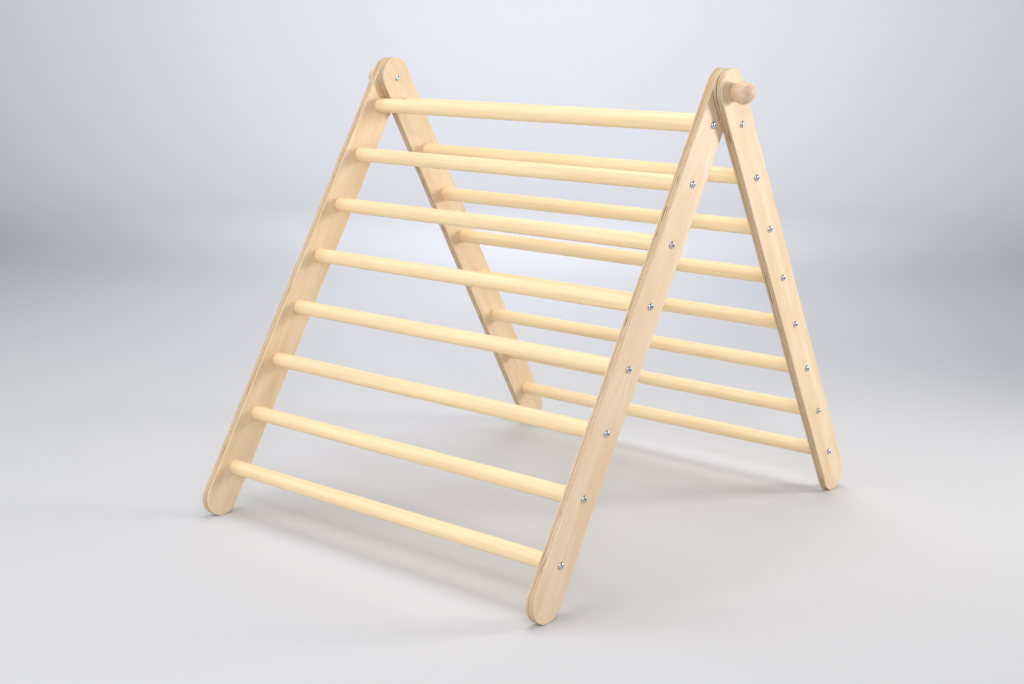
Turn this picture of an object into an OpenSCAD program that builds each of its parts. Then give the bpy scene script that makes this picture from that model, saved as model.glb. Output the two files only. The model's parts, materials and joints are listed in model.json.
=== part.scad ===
// Folding climbing triangle: two equal ladders that turn on each other at the top.
// Origin on the floor in the middle of the stance, +Z up, the pivots along X,
// the front ladder standing out to -Y and the back ladder to +Y.

/* [Ladders] */
// Clear width between a ladder's rails, which is a rung's length
clear_w = 828; // [500:1:1000]
// Rungs on each ladder
rung_count = 8; // [4:1:10]
// Distance from rung to rung along the rails
rung_pitch = 120; // [90:1:160]
// Diameter of a rung
rung_d = 30; // [26:0.5:38]
// Lean of each ladder from the vertical, in degrees
lean = 30.7; // [28:0.1:42]

/* [Rails] */
// Width of a rail, across its face
rail_w = 78; // [64:1:90]
// Thickness of the plywood
rail_t = 18; // [15:0.5:24]
// Radius that eases every edge of a rail
edge_r = 4; // [1:0.5:6]
// From a rail's top end down to the pivot
top_to_pivot = 44; // [40:1:60]
// From the pivot down to the first rung
pivot_to_rung = 68; // [66:1:90]
// From the last rung down to the foot
rung_to_foot = 104; // [60:1:140]
// Gap between the two rails that meet at a pivot
rail_gap = 1.5; // [1:0.1:4]

/* [Fasteners] */
// Thread diameter of every bolt
bolt_d = 8; // [6:1:10]
// Diameter of a button head
head_d = 14; // [12:0.5:18]
// Height of a button head
head_h = 4.4; // [3:0.1:6]
// Width across flats of the hexagon socket
socket_af = 5; // [4:0.5:6]
// Length of a rung bolt under its head
rung_bolt_l = 35; // [28:1:38]
// Length of a pivot bolt under its head
pivot_bolt_l = 55; // [50:1:57]
// Outer diameter of a threaded insert
insert_d = 12; // [11:0.5:14]
// Length of the insert in each end of a rung
rung_insert_l = 20; // [15:1:25]
// Outer diameter of the washer between two rails
washer_d = 24; // [18:1:30]

/* [Knobs] */
// Diameter of a knob's ball
ball_d = 42; // [34:1:50]
// Height of the ball's centre above the knob's base
ball_h = 20.5; // [18:0.5:26]
// Diameter of the collar under the ball
collar_d = 34; // [26:1:38]
// Length of the insert in a knob
knob_insert_l = 15; // [12:1:16]

/* [Hidden] */
$fn = 72;
numbers = [for (k = [1:rung_count]) k];

// clearances
running = 0.05;            // radial, round a pivot bolt and round the inserts
thread_gap = 0.05;         // radial, between a bolt and the insert that it is screwed into
bolt_hole_d = bolt_d + 0.4;
slack = 0.3;               // between faces that turn past each other

// rails and rungs, measured down a ladder from the pivot
end_r = rail_w / 2;
top_centre = top_to_pivot - end_r;
foot_centre = pivot_to_rung + (rung_count - 1) * rung_pitch + rung_to_foot - end_r;
pivot_h = foot_centre * cos(lean) + end_r;
stagger = rail_t + rail_gap;
outer_face = clear_w / 2 + rail_t;
function rung_at(k) = pivot_to_rung + (k - 1) * rung_pitch;

// a button head is a slice of a sphere with a low straight rim and a small flat top
head_rim_h = 0.7;
head_top_r = head_d / 4;
dome_drop = (pow(head_d / 2, 2) + pow(head_rim_h, 2) - pow(head_top_r, 2) - pow(head_h, 2))
    / (2 * (head_h - head_rim_h));
dome_r = norm([head_d / 2, head_rim_h + dome_drop]);
socket_depth = 2.6;

// inserts: a core with a coarse wood thread drawn as rings
insert_core_d = insert_d - 1.4;
ring_h = 1;
ring_pitch = 2.4;
bore_extra = 2;            // how far a bore runs past the insert in it

ply = "#EBD2B0";
dowel = "#F6DDA9";
turned_wood = "#CDAE8B";
zinc = "#C9CCD1";
brass_plate = "#B9A36B";

// puts a ladder's own space, with the pivot at its origin and the rails down -Z, in its place
module in_ladder(side) {
    rotate([0, 0, side == "back" ? 180 : 0])
        translate([-stagger / 2, 0, pivot_h])
            rotate([-lean, 0, 0])
                children();
}

// lays a piece that is drawn along +Z out along +X (hand 1) or -X (hand -1)
module along_x(hand) {
    rotate([0, hand * 90, 0])
        children();
}

module eased_square(w, t) {
    square([w - 2 * edge_r, t], center = true);
    square([w, t - 2 * edge_r], center = true);
    for (x = [-1, 1], y = [-1, 1])
        translate([x * (w / 2 - edge_r), y * (t / 2 - edge_r)])
            circle(r = edge_r);
}

// half of a round rail end, its thickness along X, on the side of +Z (up = 1) or -Z (up = -1)
module round_end(up) {
    along_x(1)
        rotate_extrude(angle = 180, start = up * 90)
            intersection() {
                eased_square(rail_w, rail_t);
                translate([0, -rail_t / 2])
                    square([end_r, rail_t]);
            }
}

// hand -1 is the rail that lies outside at its pivot, hand 1 the one that lies inside
module rail(hand) {
    color(ply)
        translate([hand * (clear_w + rail_t) / 2, 0, 0])
            difference() {
                union() {
                    translate([0, 0, -foot_centre])
                        linear_extrude(foot_centre + top_centre)
                            eased_square(rail_t, rail_w);
                    translate([0, 0, top_centre])
                        round_end(1);
                    translate([0, 0, -foot_centre])
                        round_end(-1);
                }
                along_x(1)
                    cylinder(d = bolt_d + 2 * running, h = 2 * rail_t, center = true);
                for (k = numbers)
                    translate([0, 0, -rung_at(k)])
                        along_x(1)
                            cylinder(d = bolt_hole_d, h = 2 * rail_t, center = true);
            }
}

module rung(k) {
    bore_l = rung_insert_l + bore_extra;
    color(dowel)
        translate([0, 0, -rung_at(k)])
            along_x(1)
                difference() {
                    cylinder(d = rung_d, h = clear_w, center = true);
                    for (z = [-clear_w / 2, clear_w / 2])
                        translate([0, 0, z])
                            cylinder(d = insert_d + 2 * running, h = 2 * bore_l, center = true);
                }
}

// head above z = 0, shank below it
module button_bolt(shank_l) {
    color(zinc)
        difference() {
            union() {
                intersection() {
                    cylinder(d = head_d, h = head_h);
                    translate([0, 0, -dome_drop])
                        sphere(r = dome_r);
                }
                translate([0, 0, -shank_l])
                    cylinder(d = bolt_d, h = shank_l);
            }
            translate([0, 0, head_h - socket_depth])
                cylinder(d = socket_af / cos(30), h = head_h, $fn = 6);
        }
}

// mouth at z = 0, body below it
module insert(body_l) {
    color(brass_plate)
        translate([0, 0, -body_l])
            difference() {
                union() {
                    cylinder(d = insert_core_d, h = body_l);
                    for (z = [ring_pitch / 2 : ring_pitch : body_l - ring_pitch / 2])
                        translate([0, 0, z - ring_h / 2])
                            cylinder(d = insert_d, h = ring_h);
                }
                translate([0, 0, -1])
                    cylinder(d = bolt_d + 2 * thread_gap, h = body_l + 2);
            }
}

module rung_bolts(hand) {
    for (k = numbers)
        translate([hand * outer_face, 0, -rung_at(k)])
            along_x(hand)
                button_bolt(rung_bolt_l);
}

module rung_inserts(hand) {
    for (k = numbers)
        translate([hand * clear_w / 2, 0, -rung_at(k)])
            along_x(hand)
                insert(rung_insert_l);
}

// A pivot bolt's head bears on the inside of a ladder's inner rail. It runs through that
// rail, the washer and the other ladder's outer rail into the knob.
module pivot_bolt() {
    translate([clear_w / 2, 0, 0])
        along_x(-1)
            button_bolt(pivot_bolt_l);
}

module pivot_washer() {
    color(zinc)
        translate([outer_face, 0, 0])
            along_x(1)
                difference() {
                    cylinder(d = washer_d, h = rail_gap - slack);
                    cylinder(d = bolt_hole_d, h = 3 * rail_gap, center = true);
                }
}

module at_knob() {
    translate([outer_face + stagger + slack, 0, 0])
        along_x(1)
            children();
}

module knob() {
    tip_bore_l = pivot_bolt_l - 2 * rail_t - rail_gap + bore_extra;
    color(turned_wood)
        at_knob()
            difference() {
                intersection() {
                    union() {
                        cylinder(d = collar_d, h = ball_h);
                        translate([0, 0, ball_h])
                            sphere(d = ball_d);
                    }
                    cylinder(d = 2 * ball_d, h = 2 * ball_d);
                }
                cylinder(d = insert_d + 2 * running, h = 2 * knob_insert_l, center = true);
                cylinder(d = bolt_hole_d, h = 2 * tip_bore_l, center = true);
            }
}

module knob_insert() {
    at_knob()
        rotate([180, 0, 0])
            insert(knob_insert_l);
}

in_ladder("front") rail(-1);  // front_left_rail
in_ladder("front") rail(1);  // front_right_rail
in_ladder("back") rail(1);  // back_left_rail
in_ladder("back") rail(-1);  // back_right_rail
for (k = numbers) {
    in_ladder("front") rung(k);
    in_ladder("back") rung(k);
}
in_ladder("front") rung_bolts(-1);  // front_left_bolts
in_ladder("front") rung_bolts(1);  // front_right_bolts
in_ladder("back") rung_bolts(1);  // back_left_bolts
in_ladder("back") rung_bolts(-1);  // back_right_bolts
in_ladder("front") rung_inserts(-1);  // front_left_inserts
in_ladder("front") rung_inserts(1);  // front_right_inserts
in_ladder("back") rung_inserts(1);  // back_left_inserts
in_ladder("back") rung_inserts(-1);  // back_right_inserts
in_ladder("front") pivot_bolt();  // right_pivot_bolt
in_ladder("back") pivot_bolt();  // left_pivot_bolt
in_ladder("front") pivot_washer();  // right_pivot_washer
in_ladder("back") pivot_washer();  // left_pivot_washer
in_ladder("front") knob();  // right_knob
in_ladder("back") knob();  // left_knob
in_ladder("front") knob_insert();  // right_knob_insert
in_ladder("back") knob_insert();  // left_knob_insert
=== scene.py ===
import json
import math

import bmesh
import bpy
from mathutils import Matrix, Vector


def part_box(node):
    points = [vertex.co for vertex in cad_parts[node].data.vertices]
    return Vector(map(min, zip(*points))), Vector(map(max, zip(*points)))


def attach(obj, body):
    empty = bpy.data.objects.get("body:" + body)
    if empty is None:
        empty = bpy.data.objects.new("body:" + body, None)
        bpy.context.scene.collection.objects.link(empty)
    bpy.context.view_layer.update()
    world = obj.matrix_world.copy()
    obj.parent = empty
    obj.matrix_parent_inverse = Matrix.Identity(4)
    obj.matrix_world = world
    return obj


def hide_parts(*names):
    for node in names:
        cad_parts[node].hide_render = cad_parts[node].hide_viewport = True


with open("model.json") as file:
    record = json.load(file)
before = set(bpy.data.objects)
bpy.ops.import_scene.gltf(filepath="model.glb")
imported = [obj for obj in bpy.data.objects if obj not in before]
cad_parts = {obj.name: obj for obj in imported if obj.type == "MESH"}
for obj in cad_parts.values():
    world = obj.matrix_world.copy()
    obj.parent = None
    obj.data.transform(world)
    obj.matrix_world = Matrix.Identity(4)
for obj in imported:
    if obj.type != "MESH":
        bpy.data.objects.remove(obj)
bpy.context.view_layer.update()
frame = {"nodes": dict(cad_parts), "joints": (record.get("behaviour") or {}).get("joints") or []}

mm = 0.001
scene = bpy.context.scene
scene.view_settings.view_transform = "Standard"


# what the frame says about the ladders, in a ladder's own axes: X along the rungs,
# Y across the rails and Z along them, with the pivot at the origin

def middle(node):
    low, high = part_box(node)
    return (low + high) / 2


def spread(node):
    low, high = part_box(node)
    return high - low


rungCount = len([node for node in frame["nodes"] if node.startswith("front_rung_")])
pivot = Vector(next(j["pos_m"] for j in frame["joints"] if j["name"] == "fold"))
firstRung = middle("front_rung_1") - pivot
rowSpan = middle(f"front_rung_{rungCount}") - middle("front_rung_1")
pitch = rowSpan.length / (rungCount - 1)
firstDrop = firstRung.yz.length               # from the pivot to the first rung, down the rail
lean = math.atan2(-rowSpan.y, -rowSpan.z)
shift = firstRung.x
clearWidth = spread("front_rung_1").x
outerFace = clearWidth / 2 + spread("front_left_rail").x
plyThickness = outerFace - clearWidth / 2


def ladderPlace(side):
    turn = Matrix.Rotation(math.pi if side == "back" else 0, 4, "Z")
    return turn @ Matrix.Translation((shift, 0, pivot.z)) @ Matrix.Rotation(-lean, 4, "X")


print(f"frame read: {rungCount} rungs a ladder, leaning {math.degrees(lean):.1f} degrees")


# small tools

def addNode(tree, kind, inputs=None, stops=None, **settings):
    # adds a node; an input is a number, a colour, a socket or a node, whose first live output is
    # then linked; stops fill a colour ramp with (position, colour)
    node = tree.nodes.new(kind)
    for name, value in settings.items():
        setattr(node, name, value)
    for key, value in (inputs or {}).items():
        if isinstance(value, bpy.types.Node):
            value = next(output for output in value.outputs if output.enabled)
        if isinstance(value, bpy.types.NodeSocket):
            tree.links.new(value, node.inputs[key])
        else:
            node.inputs[key].default_value = value
    if stops:
        elements = node.color_ramp.elements
        elements.remove(elements[-1])
        elements[0].position, elements[0].color = stops[0]
        for at, colour in stops[1:]:
            elements.new(at).color = colour
    return node


def linear(hexColour):
    parts = [int(hexColour[i:i + 2], 16) / 255 for i in (1, 3, 5)]
    return [p / 12.92 if p <= 0.04045 else ((p + 0.055) / 1.055) ** 2.4 for p in parts] + [1]


def perMetre(*sizes):
    return [1 / size for size in sizes]


def meshObject(name, verts, faces):
    mesh = bpy.data.meshes.new(name)
    mesh.from_pydata(verts, [], faces)
    mesh.update()
    made = bpy.data.objects.new(name, mesh)
    scene.collection.objects.link(made)
    return made


def outwards(piece):
    # turns every face of a closed solid to the outside
    work = bmesh.new()
    work.from_mesh(piece.data)
    bmesh.ops.recalc_face_normals(work, faces=work.faces)
    work.to_mesh(piece.data)
    work.free()


def turned(name, profile, sides):
    # a closed solid turned on X; a profile point is (radius, height), and a radius of 0 is a pole
    # a radius may be a function of the angle, as for a hexagon or a thread
    verts, rings = [], []
    for radius, height in profile:
        if radius == 0:
            rings.append([len(verts)] * sides)
            verts.append((height, 0, 0))
            continue
        rings.append(list(range(len(verts), len(verts) + sides)))
        for i in range(sides):
            angle = 2 * math.pi * i / sides
            r = radius(angle) if callable(radius) else radius
            verts.append((height, r * math.cos(angle), r * math.sin(angle)))
    faces = []
    for a, b in zip(rings, rings[1:]):
        for i in range(sides):
            k = (i + 1) % sides
            corners = [a[i], b[i], b[k], a[k]]
            faces.append([c for n, c in enumerate(corners) if c not in corners[:n]])
    return meshObject(name, verts, faces)


def smooth(piece, degrees=35):
    piece.data.shade_smooth()
    piece.data.set_sharp_from_angle(angle=math.radians(degrees))


def shapeTree(name, **inputs):
    # an empty tree with a geometry output and the inputs that are listed under each socket kind
    tree = bpy.data.node_groups.new(name, "GeometryNodeTree")
    tree.interface.new_socket("Geometry", in_out="OUTPUT", socket_type="NodeSocketGeometry")
    for kind, keys in inputs.items():
        for key in keys:
            tree.interface.new_socket(key, in_out="INPUT", socket_type="NodeSocket" + kind)
    return tree, tree.nodes.new("NodeGroupInput").outputs


def endTree(tree, geometry, material):
    real = addNode(tree, "GeometryNodeRealizeInstances", {"Geometry": geometry})
    painted = addNode(tree, "GeometryNodeSetMaterial", {"Geometry": real, "Material": material})
    addNode(tree, "NodeGroupOutput", {0: painted})


def grow(name, tree, values, finish=None):
    # runs a tree with its inputs' values, and any modifiers that finish adds, and leaves a plain mesh
    piece = bpy.data.objects.new(name, bpy.data.meshes.new(name))
    scene.collection.objects.link(piece)
    modifier = piece.modifiers.new("shape", "NODES")
    modifier.node_group = tree
    for item in tree.interface.items_tree:
        if item.name in values:
            modifier[item.identifier] = values[item.name]
    if finish:
        finish(piece)
    graph = bpy.context.evaluated_depsgraph_get()
    mesh = bpy.data.meshes.new_from_object(piece.evaluated_get(graph),
                                           preserve_all_data_layers=True, depsgraph=graph)
    mesh.materials.pop(index=0)      # the empty slot that the conversion leaves
    piece.modifiers.clear()
    piece.data = mesh
    return piece


grainShift = {"front": 0, "back": 3.7}   # metres, so that the ladders don't share their grain


def settle(piece, side, body, materialSlot, *nodes):
    # keeps the piece's place in its ladder for the pattern, then lays it in the frame on its body
    mesh = piece.data
    own = mesh.attributes.new("own", "FLOAT_VECTOR", "POINT")
    for point, vertex in zip(own.data, mesh.vertices):
        point.vector = vertex.co + Vector((0, 0, grainShift[side]))
    mesh.transform(ladderPlace(side))
    mesh.update()
    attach(piece, body)
    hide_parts(*nodes)


# materials; a piece's own place runs X through the plies, Y across a rail and Z along it

def newMaterial(name):
    material = bpy.data.materials.new(name)
    material.use_nodes = True
    tree = material.node_tree
    tree.nodes.clear()
    shader = addNode(tree, "ShaderNodeBsdfPrincipled")
    addNode(tree, "ShaderNodeOutputMaterial", {"Surface": shader})
    return material, tree, shader


birchPlywood = {
    # how deep under the outer face each layer starts, its tone, and how much end grain it shows;
    # a glue line is some 0.1 mm, and is drawn at 0.6 to 0.9 mm so that it shows
    "layers": (
        (0.0 * mm, "#EDD8BB", 0.0),
        (2.4 * mm, "#866750", 0.2),
        (3.3 * mm, "#EED8B4", 0.2),
        (5.1 * mm, "#A5866A", 0.4),
        (5.7 * mm, "#D6BFA2", 0.9),
        (8.0 * mm, "#DCC5A6", 0.3),
        (10.2 * mm, "#C4AA8C", 1.0),
        (12.3 * mm, "#94755A", 0.4),
        (12.9 * mm, "#E6CDA7", 0.3),
        (15.0 * mm, "#86674F", 0.6),
        (15.7 * mm, "#EDD8BB", 0.0),
    ),
    "layerBlur": 0.1 * mm,
    "layerWander": 0.35 * mm,
    # each noise's size through the plies, across and along the rail, its detail and distortion
    "noises": {
        "figure": ((34 * mm, 34 * mm, 260 * mm), 3, 0.7),
        "fibre": ((1.5 * mm, 1.5 * mm, 55 * mm), 4, 0.25),
        "pore": ((0.5 * mm, 0.5 * mm, 5 * mm), 1, 0),
        "endCell": ((1.2 * mm, 1.6 * mm, 1.6 * mm), 3, 0),
        "gapSize": ((4 * mm, 60 * mm, 45 * mm), 1, 0),
    },
    "grain": ((0.36, "#FFFFFF"), (0.66, "#F1E2CD")),    # what the grain multiplies the wood by
    "fibreShare": 0.35,
    "endGrain": "#8D6C50",
    # the gap's tone is painted shade: the dark inside of a void that the mesh doesn't cut
    "gapShade": "#57403A",
    # where in its noise each mark begins and is full, and its share of the colour there
    "cells": {"From Min": 0.4, "From Max": 0.75, "To Max": 0.5},
    "gaps": {"From Min": 0.62, "From Max": 0.66, "To Max": 0.8},
    "pores": {"From Min": 0.62, "From Max": 0.7, "To Max": 0.14},
    "roughness": {"To Min": 0.42, "To Max": 0.58},
    "relief": {"Strength": 0.25, "Distance": 0.12 * mm},
}
woodIor = 1.5
noiseRoughness = 0.6


def makeBirchPlywood():
    # birch plywood, sanded and oiled: pale satin faces with a fine lengthwise grain, and edges
    # striped by the plies; thirteen 1.4 mm veneers would blur, so seven of some 2.6 mm are drawn
    look = birchPlywood
    material, tree, shader = newMaterial("birchPlywood")
    place = addNode(tree, "ShaderNodeAttribute", attribute_name="own").outputs["Vector"]
    noise = {}
    for name, (sizes, detail, bend) in look["noises"].items():
        stretched = addNode(tree, "ShaderNodeMapping", {"Vector": place, "Scale": perMetre(*sizes)})
        noise[name] = addNode(tree, "ShaderNodeTexNoise", {
            "Vector": stretched, "Scale": 1, "Detail": detail, "Roughness": noiseRoughness,
            "Distortion": bend})

    # the layers, by how far a point lies under the outer face, with a slight wander
    axes = addNode(tree, "ShaderNodeSeparateXYZ", {0: place})
    across = addNode(tree, "ShaderNodeMath", {0: axes.outputs[0]}, operation="ABSOLUTE")
    under = addNode(tree, "ShaderNodeMapRange", {
        "Value": across, "From Min": outerFace, "From Max": clearWidth / 2})
    wander = addNode(tree, "ShaderNodeMapRange", {
        "Value": noise["figure"], "To Min": -look["layerWander"] / plyThickness,
        "To Max": look["layerWander"] / plyThickness})
    # 1 between the faces and 0 on them, so that the wander leaves the faces alone
    inside = addNode(tree, "ShaderNodeMath", {0: under, 1: 0.5, 2: 0.49}, operation="COMPARE")
    moved = addNode(tree, "ShaderNodeMath", {0: wander, 1: inside, 2: under}, operation="MULTIPLY_ADD")
    tones = [(depth, linear(tone)[:3] + [share]) for depth, tone, share in look["layers"]]
    stops = [(0, tones[0][1])]
    for (_, before), (depth, after) in zip(tones, tones[1:]):
        stops.append(((depth - look["layerBlur"]) / plyThickness, before))
        stops.append(((depth + look["layerBlur"]) / plyThickness, after))
    layers = addNode(tree, "ShaderNodeValToRGB", {0: moved}, stops)

    # grain along the wood, everywhere
    tone = addNode(tree, "ShaderNodeMix", {
        "Factor": look["fibreShare"], 2: noise["figure"], 3: noise["fibre"]})
    grain = addNode(tree, "ShaderNodeValToRGB", {0: tone}, [
        (at, linear(colour)) for at, colour in look["grain"]])
    grained = addNode(tree, "ShaderNodeMix", {"Factor": 1, 6: layers, 7: grain},
                      data_type="RGBA", blend_type="MULTIPLY")

    # end grain on the cross plies, and a gap in one here and there, some 45 mm long, coloured dark as
    # painted shade inside the void
    crossShare = layers.outputs["Alpha"]
    cells = addNode(tree, "ShaderNodeMapRange", {"Value": noise["endCell"], **look["cells"]})
    cellShare = addNode(tree, "ShaderNodeMath", {0: cells, 1: crossShare}, operation="MULTIPLY")
    celled = addNode(tree, "ShaderNodeMix", {
        "Factor": cellShare, 6: grained, 7: linear(look["endGrain"])}, data_type="RGBA")
    opened = addNode(tree, "ShaderNodeMapRange", {"Value": noise["gapSize"], **look["gaps"]})
    gapShare = addNode(tree, "ShaderNodeMath", {0: opened, 1: crossShare}, operation="MULTIPLY")
    # painted shade where a gap opens
    gapShaded = addNode(tree, "ShaderNodeMix", {
        "Factor": gapShare, 6: celled, 7: linear(look["gapShade"])}, data_type="RGBA")
    pores = addNode(tree, "ShaderNodeMapRange", {"Value": noise["pore"], **look["pores"]})
    pored = addNode(tree, "ShaderNodeMix", {
        "Factor": pores, 6: gapShaded, 7: linear(look["endGrain"])}, data_type="RGBA")
    tree.links.new(pored.outputs[2], shader.inputs["Base Color"])

    shader.inputs["IOR"].default_value = woodIor
    rough = addNode(tree, "ShaderNodeMapRange", {"Value": noise["fibre"], **look["roughness"]})
    tree.links.new(rough.outputs[0], shader.inputs["Roughness"])
    height = addNode(tree, "ShaderNodeMath", {0: noise["fibre"], 1: gapShare}, operation="SUBTRACT")
    bump = addNode(tree, "ShaderNodeBump", {"Height": height, **look["relief"]})
    tree.links.new(bump.outputs[0], shader.inputs["Normal"])
    return material


# the plain woods; each noise's size is along X, Y and Z, and tones run pale to dark
birchDowel = {
    "tones": ("#F9E2B7", "#F0D1A2"),
    "fine": (90 * mm, 1.3 * mm, 1.3 * mm),
    "broad": (300 * mm, 5 * mm, 15 * mm),
    "fleck": (3 * mm, 0.4 * mm, 0.4 * mm),
    "fleckTone": "#CDA678",
    "fleckShare": 0.15,
    "roughness": {"To Min": 0.36, "To Max": 0.5},
}
turnedBeech = {
    "tones": ("#E8CAAC", "#D8B797"),
    "fine": (28 * mm, 1.6 * mm, 4 * mm),
    "broad": (60 * mm, 6 * mm, 9 * mm),
    "fleck": (2.4 * mm, 0.45 * mm, 0.45 * mm),
    "fleckTone": "#A67E58",
    "fleckShare": 0.35,
    "roughness": {"To Min": 0.5, "To Max": 0.62},
}
# what both share: each noise's detail and distortion, and how they are laid over each other
plainWood = {
    "noises": {"fine": (4, 0.2), "broad": (2, 0.5), "fleck": (1, 0)},
    "broadShare": 0.6,
    "tonesAt": (0.38, 0.64),
    "flecksAt": {"From Min": 0.6, "From Max": 0.7},
    "relief": {"Strength": 0.2, "Distance": 0.09 * mm},
}


def makeTurnedWood(name, look):
    # turned hardwood with straight grain along X
    # birch dowel, oiled: paler than the plywood, almost without figure
    # beech, waxed: a little browner, with short dark ray flecks
    material, tree, shader = newMaterial(name)
    place = addNode(tree, "ShaderNodeAttribute", attribute_name="own").outputs["Vector"]
    noise = {}
    for layer, (detail, bend) in plainWood["noises"].items():
        stretched = addNode(tree, "ShaderNodeMapping", {"Vector": place, "Scale": perMetre(*look[layer])})
        noise[layer] = addNode(tree, "ShaderNodeTexNoise", {
            "Vector": stretched, "Scale": 1, "Detail": detail, "Roughness": noiseRoughness,
            "Distortion": bend})
    tone = addNode(tree, "ShaderNodeMix", {
        "Factor": plainWood["broadShare"], 2: noise["fine"], 3: noise["broad"]})
    wood = addNode(tree, "ShaderNodeValToRGB", {0: tone}, [
        (at, linear(colour)) for at, colour in zip(plainWood["tonesAt"], look["tones"])])
    flecks = addNode(tree, "ShaderNodeMapRange", {
        "Value": noise["fleck"], "To Max": look["fleckShare"], **plainWood["flecksAt"]})
    flecked = addNode(tree, "ShaderNodeMix", {
        "Factor": flecks, 6: wood, 7: linear(look["fleckTone"])}, data_type="RGBA")
    tree.links.new(flecked.outputs[2], shader.inputs["Base Color"])
    shader.inputs["IOR"].default_value = woodIor
    rough = addNode(tree, "ShaderNodeMapRange", {"Value": noise["fine"], **look["roughness"]})
    tree.links.new(rough.outputs[0], shader.inputs["Roughness"])
    bump = addNode(tree, "ShaderNodeBump", {"Height": noise["fine"], **plainWood["relief"]})
    tree.links.new(bump.outputs[0], shader.inputs["Normal"])
    return material


platedMetals = {
    "zincPlatedSteel": {"tones": ("#D4D7DB", "#BDC1C7"), "roughness": {"To Min": 0.2, "To Max": 0.32}},
    "yellowZincAlloy": {"tones": ("#C4A867", "#A98D52"), "roughness": {"To Min": 0.28, "To Max": 0.42}},
}
plating = {
    "cloud": {"Scale": 1 / (3 * mm), "Detail": 3},
    "scratch": {"Scale": 1 / (0.35 * mm), "Detail": 2},
    "tonesAt": (0.35, 0.7),
    "relief": {"Strength": 0.12, "Distance": 0.03 * mm},
}


def makePlatedMetal(name):
    # bright plating over cold-headed steel or cast zinc: clean lights, faintly clouded
    look = platedMetals[name]
    material, tree, shader = newMaterial(name)
    place = addNode(tree, "ShaderNodeTexCoord").outputs["Object"]
    cloud = addNode(tree, "ShaderNodeTexNoise", {"Vector": place, **plating["cloud"]})
    scratch = addNode(tree, "ShaderNodeTexNoise", {"Vector": place, **plating["scratch"]})
    tone = addNode(tree, "ShaderNodeValToRGB", {0: cloud}, [
        (at, linear(colour)) for at, colour in zip(plating["tonesAt"], look["tones"])])
    tree.links.new(tone.outputs[0], shader.inputs["Base Color"])
    shader.inputs["Metallic"].default_value = 1
    rough = addNode(tree, "ShaderNodeMapRange", {"Value": cloud, **look["roughness"]})
    tree.links.new(rough.outputs[0], shader.inputs["Roughness"])
    bump = addNode(tree, "ShaderNodeBump", {"Height": scratch, **plating["relief"]})
    tree.links.new(bump.outputs[0], shader.inputs["Normal"])
    return material


plywoodFinish = makeBirchPlywood()
dowelFinish = makeTurnedWood("birchDowel", birchDowel)
beechFinish = makeTurnedWood("turnedBeech", turnedBeech)
zincFinish = makePlatedMetal("zincPlatedSteel")
insertFinish = makePlatedMetal("yellowZincAlloy")
print("materials made")


# rails: a plate with round ends and eased edges, bored for the pivot and for every rung bolt

rail = {
    "width": 78 * mm,
    "topToPivot": 44 * mm,
    "easing": 4 * mm,
    "easingSteps": 6,
    "boreEasing": 0.25 * mm,
    "endSteps": 26,
    "pivotBore": 8.1 * mm,
    "rungBore": 8.4 * mm,
    "boreSides": 40,
    "cornerAngle": 1.0,     # radians; a sharper fold than this is an edge to ease
    "weldDistance": 0.01 * mm,
}
rail["radius"] = rail["width"] / 2
rail["top"] = rail["topToPivot"] - rail["radius"]
rail["foot"] = (pivot.z - rail["radius"]) / math.cos(lean)


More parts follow.
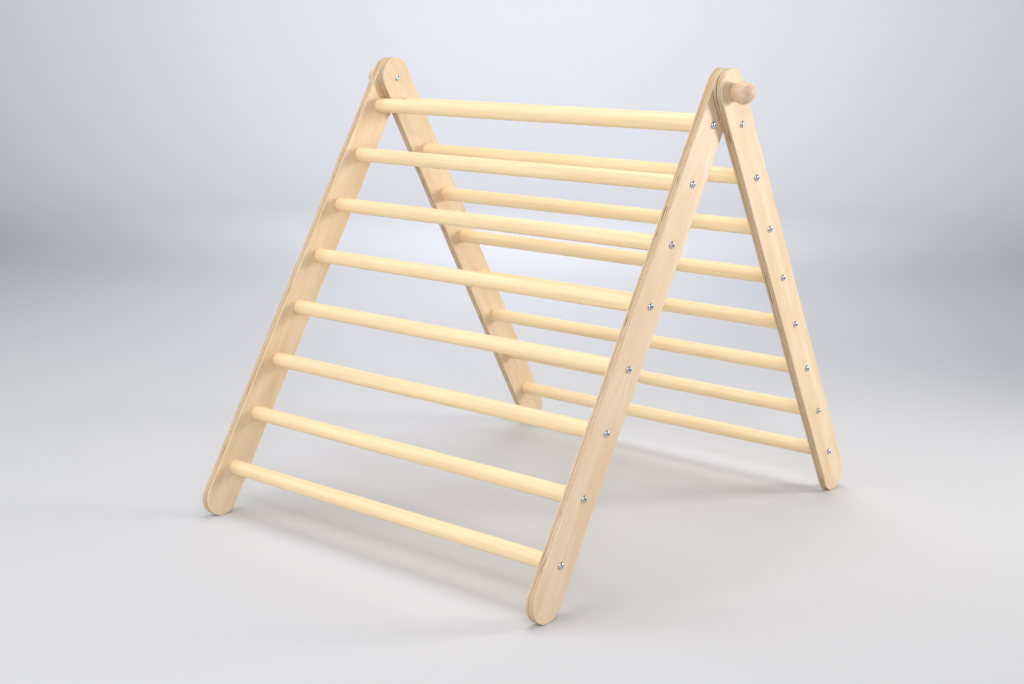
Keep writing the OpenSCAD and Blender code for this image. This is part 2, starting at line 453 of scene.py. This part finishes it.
def makeRailTree():
    # drawn flat: X across the rail, Y along it and up from the pivot at 0, Z through the plies
    tree, given = shapeTree(
        "railShape",
        Float=("Width", "Top", "Foot", "Thickness", "Pivot Bore", "Rung Bore", "First Rung",
               "Rung Step", "Bore Weight"),
        Int=("End Steps", "Rungs"), Material=("Material",))
    radius = addNode(tree, "ShaderNodeMath", {0: given["Width"], 1: 2}, operation="DIVIDE")
    span = addNode(tree, "ShaderNodeMath", {0: given["Top"], 1: given["Foot"]}, operation="SUBTRACT")
    height = addNode(tree, "ShaderNodeMath", {0: span, 1: given["Width"]}, operation="ADD")
    ends = addNode(tree, "ShaderNodeMath", {0: given["Top"], 1: given["Foot"]}, operation="ADD")
    halfway = addNode(tree, "ShaderNodeMath", {0: ends, 1: 2}, operation="DIVIDE")
    box = addNode(tree, "GeometryNodeCurvePrimitiveQuadrilateral", {
        "Width": given["Width"], "Height": height})
    placed = addNode(tree, "GeometryNodeTransform", {
        "Geometry": box, "Translation": addNode(tree, "ShaderNodeCombineXYZ", {1: halfway})})
    outline = addNode(tree, "GeometryNodeFilletCurve", {
        "Curve": placed, "Radius": radius, "Limit Radius": True, "Count": given["End Steps"]}, mode="POLY")
    pivotBore = addNode(tree, "GeometryNodeCurvePrimitiveCircle", {
        "Resolution": rail["boreSides"], "Radius": given["Pivot Bore"]})
    rungBore = addNode(tree, "GeometryNodeCurvePrimitiveCircle", {
        "Resolution": rail["boreSides"], "Radius": given["Rung Bore"]})
    row = addNode(tree, "GeometryNodeMeshLine", {
        "Count": given["Rungs"],
        "Start Location": addNode(tree, "ShaderNodeCombineXYZ", {1: given["First Rung"]}),
        "Offset": addNode(tree, "ShaderNodeCombineXYZ", {1: given["Rung Step"]})})
    bores = addNode(tree, "GeometryNodeInstanceOnPoints", {"Points": row, "Instance": rungBore})
    drilled = addNode(tree, "GeometryNodeRealizeInstances", {0: bores})
    curves = addNode(tree, "GeometryNodeJoinGeometry")
    for part in (outline, pivotBore, drilled):
        tree.links.new(part.outputs[0], curves.inputs[0])
    plate = addNode(tree, "GeometryNodeFillCurve", {"Curve": curves}, mode="NGONS")
    bottom = addNode(tree, "GeometryNodeFlipFaces", {"Mesh": plate})
    upper = addNode(tree, "GeometryNodeExtrudeMesh", {
        "Mesh": plate, "Individual": False, "Offset Scale": given["Thickness"]})
    shell = addNode(tree, "GeometryNodeJoinGeometry")
    for part in (bottom, upper):
        tree.links.new(part.outputs[0], shell.inputs[0])
    closed = addNode(tree, "GeometryNodeMergeByDistance", {
        "Geometry": shell, "Distance": rail["weldDistance"]})

    # how much of the easing an edge gets: all of it outside, a little round a bore
    place = addNode(tree, "GeometryNodeInputPosition")
    axes = addNode(tree, "ShaderNodeSeparateXYZ", {0: place})
    along = addNode(tree, "ShaderNodeClamp", {
        "Value": axes.outputs[1], "Min": given["Foot"], "Max": given["Top"]})
    centre = addNode(tree, "ShaderNodeCombineXYZ", {1: along, 2: axes.outputs[2]})
    away = addNode(tree, "ShaderNodeVectorMath", {0: place, 1: centre}, operation="DISTANCE")
    halfRadius = addNode(tree, "ShaderNodeMath", {0: radius, 1: 2}, operation="DIVIDE")
    outside = addNode(tree, "ShaderNodeMath", {0: away, 1: halfRadius}, operation="GREATER_THAN")
    share = addNode(tree, "ShaderNodeMix", {"Factor": outside, 2: given["Bore Weight"], 3: 1})
    bend = addNode(tree, "GeometryNodeInputMeshEdgeAngle")
    corner = addNode(tree, "ShaderNodeMath", {0: bend, 1: rail["cornerAngle"]}, operation="GREATER_THAN")
    weight = addNode(tree, "ShaderNodeMath", {0: corner, 1: share}, operation="MULTIPLY")
    weighted = addNode(tree, "GeometryNodeStoreNamedAttribute", {
        "Geometry": closed, "Name": "bevel_weight_edge", "Value": weight}, data_type="FLOAT", domain="EDGE")
    shaded = addNode(tree, "GeometryNodeSetShadeSmooth", {"Geometry": weighted})
    endTree(tree, shaded.outputs[0], given["Material"])
    return tree


def easeRail(piece):
    bevel = piece.modifiers.new("eased", "BEVEL")
    bevel.limit_method = "WEIGHT"
    bevel.width = rail["easing"]
    bevel.segments = rail["easingSteps"]
    piece.modifiers.new("flatFaces", "WEIGHTED_NORMAL")


railTree = makeRailTree()
railValues = {
    "Width": rail["width"], "Top": rail["top"], "Foot": -rail["foot"],
    "Thickness": plyThickness, "End Steps": rail["endSteps"],
    "Pivot Bore": rail["pivotBore"] / 2, "Rung Bore": rail["rungBore"] / 2,
    "First Rung": -firstDrop, "Rung Step": -pitch, "Rungs": rungCount,
    "Bore Weight": rail["boreEasing"] / rail["easing"], "Material": plywoodFinish}
# flat X, Y, Z become the ladder's Y, Z, X
standUp = Matrix(((0, 0, 1, 0), (1, 0, 0, 0), (0, 1, 0, 0), (0, 0, 0, 1)))
# the back ladder is turned half round, so in its own axes its left rail is the one at +X
railHands = {("front", "left"): -1, ("front", "right"): 1, ("back", "left"): 1, ("back", "right"): -1}
for (side, name), hand in railHands.items():
    piece = grow(f"{side}{name.capitalize()}Rail", railTree, railValues, easeRail)
    inward = min(hand * clearWidth / 2, hand * outerFace)
    piece.data.transform(Matrix.Translation((inward, 0, 0)) @ standUp)
    settle(piece, side, f"{side}_ladder", "rail_plywood", f"{side}_{name}_rail")
print("rails made")


# rungs and bolts stand in rows down a ladder

def makeRowTree(name, hands):
    # one row for each hand; a row on the -X side is turned half round, so that it faces out too
    tree, given = shapeTree(name, Object=("Piece",), Float=("Across", "First", "Step"),
                            Int=("Count", "Seed"), Material=("Material",))
    source = addNode(tree, "GeometryNodeObjectInfo", {"Object": given["Piece"]})
    rows = addNode(tree, "GeometryNodeJoinGeometry")
    offset = addNode(tree, "ShaderNodeCombineXYZ", {2: given["Step"]})
    for hand in hands:
        across = addNode(tree, "ShaderNodeMath", {0: given["Across"], 1: hand}, operation="MULTIPLY")
        start = addNode(tree, "ShaderNodeCombineXYZ", {0: across, 2: given["First"]})
        line = addNode(tree, "GeometryNodeMeshLine", {
            "Count": given["Count"], "Start Location": start, "Offset": offset})
        seed = addNode(tree, "ShaderNodeMath", {0: given["Seed"], 1: hand}, operation="ADD")
        spin = addNode(tree, "FunctionNodeRandomValue", {"Max": 2 * math.pi, "Seed": seed})
        turn = addNode(tree, "ShaderNodeCombineXYZ", {0: spin, 2: math.pi if hand < 0 else 0})
        row = addNode(tree, "GeometryNodeInstanceOnPoints", {
            "Points": line, "Instance": source.outputs["Geometry"], "Rotation": turn})
        tree.links.new(row.outputs[0], rows.inputs[0])
    endTree(tree, rows.outputs[0], given["Material"])
    return tree


def roundedArc(centre, radius, start, end, steps):
    # points of an arc as (radius from the axis, height), angles in degrees from straight out
    made = []
    for i in range(steps + 1):
        angle = math.radians(start + (end - start) * i / steps)
        made.append((centre[0] + radius * math.cos(angle), centre[1] + radius * math.sin(angle)))
    return made


rung = {
    "radius": 15 * mm,
    "endEasing": 0.6 * mm,
    "easingSteps": 3,
    "bore": 12.1 * mm,
    "boreDepth": 22 * mm,
    "sides": 48,
}


def makeRung():
    half, easing = clearWidth / 2, rung["endEasing"]
    flat = rung["radius"] - easing
    bore, floor = rung["bore"] / 2, half - rung["boreDepth"]
    oneEnd = [(0, floor), (bore, floor), (bore, half), (flat, half)]
    oneEnd += roundedArc((flat, half - easing), easing, 90, 0, rung["easingSteps"])[1:]
    otherEnd = [(radius, -height) for radius, height in oneEnd]
    piece = turned("rungSource", otherEnd + oneEnd[::-1], rung["sides"])
    smooth(piece)
    return piece


bolt = {
    "thread": 8 * mm,
    "threadPitch": 1.25 * mm,
    "threadDepth": 0.65 * mm,
    "groove": (0.125, 0.375),   # half its width at the bottom and at the top, in pitches
    "tipEasing": 0.2 * mm,
    "tipLength": 0.6 * mm,
    "threadStart": 1 * mm,      # from the tip
    "threadStop": 0.6 * mm,     # short of the plain shank
    "shankUndersize": 0.02 * mm,
    "neckLength": 0.3 * mm,
    "headRadius": 7 * mm,
    "headHeight": 4.4 * mm,
    "headRim": 0.7 * mm,
    "headTop": 3.5 * mm,
    "rimEasing": 0.2 * mm,
    "domeSteps": 9,
    "socket": 5 * mm,
    "socketDepth": 2.6 * mm,
    "socketEasing": 0.25 * mm,
    "socketEasingDepth": 0.3 * mm,
    "socketPoint": 0.4 * mm,
    "smoothAngle": 30,
}
rungBolt = {"length": 35 * mm, "threaded": 22 * mm, "sides": 36, "stepsPerTurn": 4}
pivotBolt = {"length": 55 * mm, "threaded": 30 * mm, "sides": 48, "stepsPerTurn": 8}


def makeBolt(name, size):
    # from the tip to the bottom of the socket; the underside of the head is at 0
    look = bolt
    outer = look["thread"] / 2
    inner = outer - look["threadDepth"]
    narrow, wide = look["groove"]

    def threadAt(height):
        def radius(angle):
            phase = (height / look["threadPitch"] - angle / (2 * math.pi)) % 1
            depth = min(1, max(0, (wide - abs(phase - 0.5)) / (wide - narrow)))
            return outer - (outer - inner) * depth
        return radius

    def hexagon(across):
        def radius(angle):
            sector = angle % (math.pi / 3) - math.pi / 6
            return across / 2 / math.cos(sector)
        return radius

    tip, shank = -size["length"], size["threaded"] - size["length"]
    profile = [(0, tip), (inner - look["tipEasing"], tip), (inner, tip + look["tipLength"])]
    run = size["threaded"] - look["threadStart"] - look["threadStop"]
    steps = round(run / look["threadPitch"] * size["stepsPerTurn"])
    for i in range(steps + 1):
        height = tip + look["threadStart"] + run * i / steps
        profile.append((threadAt(height), height))
    plain = outer - look["shankUndersize"]
    profile += [(plain, shank), (plain, -look["neckLength"]), (outer, 0)]
    # the head: bearing face, straight rim, dome, flat top and the socket
    head, rim, top, high = look["headRadius"], look["headRim"], look["headTop"], look["headHeight"]
    drop = (head ** 2 + rim ** 2 - top ** 2 - high ** 2) / (2 * (high - rim))
    domeRadius = math.hypot(head, rim + drop)
    profile += [(head - look["rimEasing"], 0), (head, look["rimEasing"]), (head, rim)]
    start = math.degrees(math.atan2(rim + drop, head))
    end = math.degrees(math.atan2(high + drop, top))
    profile += roundedArc((0, -drop), domeRadius, start, end, look["domeSteps"])[1:]
    floor = high - look["socketDepth"]
    profile += [(hexagon(look["socket"] + 2 * look["socketEasing"]), high),
                (hexagon(look["socket"]), high - look["socketEasingDepth"]),
                (hexagon(look["socket"]), floor), (0, floor - look["socketPoint"])]
    piece = turned(name, profile, size["sides"])
    smooth(piece, look["smoothAngle"])
    return piece


rungSource = makeRung()
boltSource = makeBolt("rungBoltSource", rungBolt)
for source in (rungSource, boltSource):
    outwards(source)
rungRow = makeRowTree("rungRow", (1,))
boltRow = makeRowTree("boltRow", (-1, 1))
spacing = {"First": -firstDrop, "Step": -pitch, "Count": rungCount}
rowSeeds = {"front": (11, 31), "back": (12, 35)}     # how the rungs and the bolts are turned
for side, (rungSeed, boltSeed) in rowSeeds.items():
    body = f"{side}_ladder"
    rungs = grow(f"{side}Rungs", rungRow, {
        "Piece": rungSource, "Across": 0.0, "Seed": rungSeed, "Material": dowelFinish, **spacing})
    settle(rungs, side, body, "rung_dowel", *[f"{side}_rung_{k + 1}" for k in range(rungCount)])
    bolts = grow(f"{side}Bolts", boltRow, {
        "Piece": boltSource, "Across": outerFace, "Seed": boltSeed, "Material": zincFinish, **spacing})
    settle(bolts, side, body, "bolt_zinc", f"{side}_left_bolts", f"{side}_right_bolts")
for source in (rungSource, boltSource):
    bpy.data.objects.remove(source)
print("rungs and bolts made")


# pivots: a long bolt through both rails into a turned knob

knob = {
    "ballRadius": 21 * mm,
    "ballHeight": 20.5 * mm,
    "collarRadius": 17 * mm,
    "collarEasing": 1.2 * mm,
    "collarSteps": 5,
    "grooveDepth": 0.7 * mm,
    "grooveFlare": 0.45,      # how far past the collar the ball starts, as a share of that depth
    "ballSteps": 30,
    "bore": 12.1 * mm,
    "boreDepth": 15 * mm,
    "tipBore": 8.4 * mm,
    "tipBoreDepth": 19.5 * mm,
    "sides": 72,
    "smoothAngle": 40,
}


def makeKnob(name):
    # from the bottom of the bore, out over the base and the collar, to the top of the ball
    ball, centre, collar = knob["ballRadius"], knob["ballHeight"], knob["collarRadius"]
    easing, groove = knob["collarEasing"], knob["grooveDepth"]
    bore, tipBore = knob["bore"] / 2, knob["tipBore"] / 2
    neck = centre - math.sqrt(ball ** 2 - collar ** 2)
    profile = [(0, knob["tipBoreDepth"]), (tipBore, knob["tipBoreDepth"]), (tipBore, knob["boreDepth"]),
               (bore, knob["boreDepth"]), (bore, 0), (collar - easing, 0)]
    profile += roundedArc((collar - easing, easing), easing, -90, 0, knob["collarSteps"])[1:]
    profile += [(collar, neck - groove), (collar - groove, neck)]
    start = math.degrees(math.atan2(neck + groove - centre, collar + knob["grooveFlare"] * groove))
    profile += roundedArc((0, centre), ball, start, 90, knob["ballSteps"])[:-1]
    profile += [(0, centre + ball)]
    piece = turned(name, profile, knob["sides"])
    piece.data.materials.append(beechFinish)
    smooth(piece, knob["smoothAngle"])
    outwards(piece)
    return piece


# in a ladder's own axes the knob's base faces the outer face of the other ladder's rail
for name, side, hand in (("left", "back", -1), ("right", "front", 1)):
    low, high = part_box(f"{name}_knob")
    base = max(abs(low.x), abs(high.x)) - knob["ballHeight"] - knob["ballRadius"] - shift
    piece = makeKnob(f"{name}Knob")
    piece.data.transform(Matrix.Translation((base, 0, 0)))
    settle(piece, side, f"{name}_knob_grip", "knob_wood", f"{name}_knob")
    piece = makeBolt(f"{name}PivotBolt", pivotBolt)
    piece.data.materials.append(zincFinish)
    outwards(piece)
    piece.data.transform(Matrix.Translation((clearWidth / 2, 0, 0)) @ Matrix.Rotation(math.pi, 4, "Z"))
    settle(piece, side, f"{side}_ladder", "bolt_zinc", f"{name}_pivot_bolt")
print("knobs and pivot bolts made")


# the inserts and washers have the right shape already and only get their finish
for node, shown in frame["nodes"].items():
    finish = insertFinish if "insert" in node else zincFinish if "washer" in node else None
    if finish:
        shown.data.materials.clear()
        shown.data.materials.append(finish)


# floor, lights and camera

sweep = {
    "floorRadius": 5.2,       # every side view's camera stands inside this
    "bendRadius": 3.2,
    "height": 5.0,
    "sides": 128,
    "bendSteps": 24,
    "colour": "#CFCFD1",
    "roughness": 0.8,
    "specular": 0.2,
}
surround = {"colour": "#DADCE0", "strength": 0.55}


def makeSweep():
    # a plain matt floor that bends up into a round backdrop, with no corner to see
    look = sweep
    profile = [(look["floorRadius"], 0)]
    for i in range(1, look["bendSteps"] + 1):
        angle = math.pi / 2 * i / look["bendSteps"]
        profile.append((look["floorRadius"] + look["bendRadius"] * math.sin(angle),
                        look["bendRadius"] * (1 - math.cos(angle))))
    profile.append((profile[-1][0], look["height"]))
    verts = [(0, 0, 0)]
    for radius, height in profile:
        for i in range(look["sides"]):
            angle = 2 * math.pi * i / look["sides"]
            verts.append((radius * math.cos(angle), radius * math.sin(angle), height))
    faces = []
    for i in range(look["sides"]):
        k = (i + 1) % look["sides"]
        faces.append((0, 1 + i, 1 + k))
        for ring in range(len(profile) - 1):
            a, b = 1 + ring * look["sides"], 1 + (ring + 1) * look["sides"]
            faces.append((a + i, b + i, b + k, a + k))
    backdrop = meshObject("studioSweep", verts, faces)
    backdrop.data.shade_smooth()
    material, _, shader = newMaterial("mattPaintedSweep")
    shader.inputs["Base Color"].default_value = linear(look["colour"])
    shader.inputs["Roughness"].default_value = look["roughness"]
    shader.inputs["Specular IOR Level"].default_value = look["specular"]
    backdrop.data.materials.append(material)


makeSweep()
world = bpy.data.worlds.new("studio")
scene.world = world
world.use_nodes = True
background = world.node_tree.nodes["Background"]
background.inputs["Color"].default_value = linear(surround["colour"])
background.inputs["Strength"].default_value = surround["strength"]

lamps = {
    # place, aimed at, width, height, watts, colour, spread in degrees;
    # the last three light the sweep: the wall behind, the floor there and the wall in front
    "key": ((2.1, 1.9, 1.0), (0.2, 0.0, 0.6), 0.7, 0.9, 13, "#FFFAF2", 90),
    "rightFront": ((2.3, -2.4, 2.3), (0.3, 0.0, 0.5), 0.5, 0.5, 14, "#FFFFFF", 140),
    "front": ((-0.3, -3.3, 1.6), (0.0, 0.0, 0.4), 1.6, 1.4, 28, "#FFFFFF", 160),
    "leftFront": ((-2.4, -2.2, 1.9), (0.0, 0.0, 0.5), 1.6, 1.6, 18, "#FFFFFF", 160),
    "overhead": ((-0.2, 0.3, 3.0), (0.0, 0.0, 0.0), 2.0, 2.0, 20, "#FFFFFF", 120),
    "backdrop": ((-0.8, 1.0, 2.8), (-5.0, 6.2, 2.6), 2.0, 1.6, 180, "#F6F9FF", 110),
    "pool": ((-1.6, 2.0, 2.2), (-2.0, 2.5, 0.0), 1.0, 1.0, 24, "#F4F7FF", 140),
    "otherWall": ((0.8, -1.0, 2.8), (5.0, -6.2, 2.6), 2.0, 1.6, 120, "#F6F9FF", 110),
}
for name, (place, aim, width, height, watts, colour, spreadAngle) in lamps.items():
    lamp = bpy.data.lights.new(name, "AREA")
    lamp.shape = "RECTANGLE"
    lamp.size, lamp.size_y = width, height
    lamp.energy = watts
    lamp.spread = math.radians(spreadAngle)
    lamp.color = linear(colour)[:3]
    made = bpy.data.objects.new(name, lamp)
    made.location = place
    made.rotation_euler = (Vector(aim) - Vector(place)).to_track_quat("-Z", "Y").to_euler()
    made.visible_camera = False
    scene.collection.objects.link(made)

view = {
    "place": (1.8184, -2.3065, 0.984),
    "yaw": 39.32,      # degrees to the left of +Y
    "tilt": -12.26,
    "roll": 0.76,
    "lens": 50.73,
    "sensor": 36,
}
camera = bpy.data.objects.new("camera", bpy.data.cameras.new("camera"))
camera.data.lens = view["lens"]
camera.data.sensor_width = view["sensor"]
camera.matrix_world = (Matrix.Translation(view["place"])
                       @ Matrix.Rotation(math.radians(view["yaw"]), 4, "Z")
                       @ Matrix.Rotation(math.radians(90 + view["tilt"]), 4, "X")
                       @ Matrix.Rotation(math.radians(view["roll"]), 4, "Z"))
scene.collection.objects.link(camera)
scene.camera = camera
print("floor, lights and camera set")
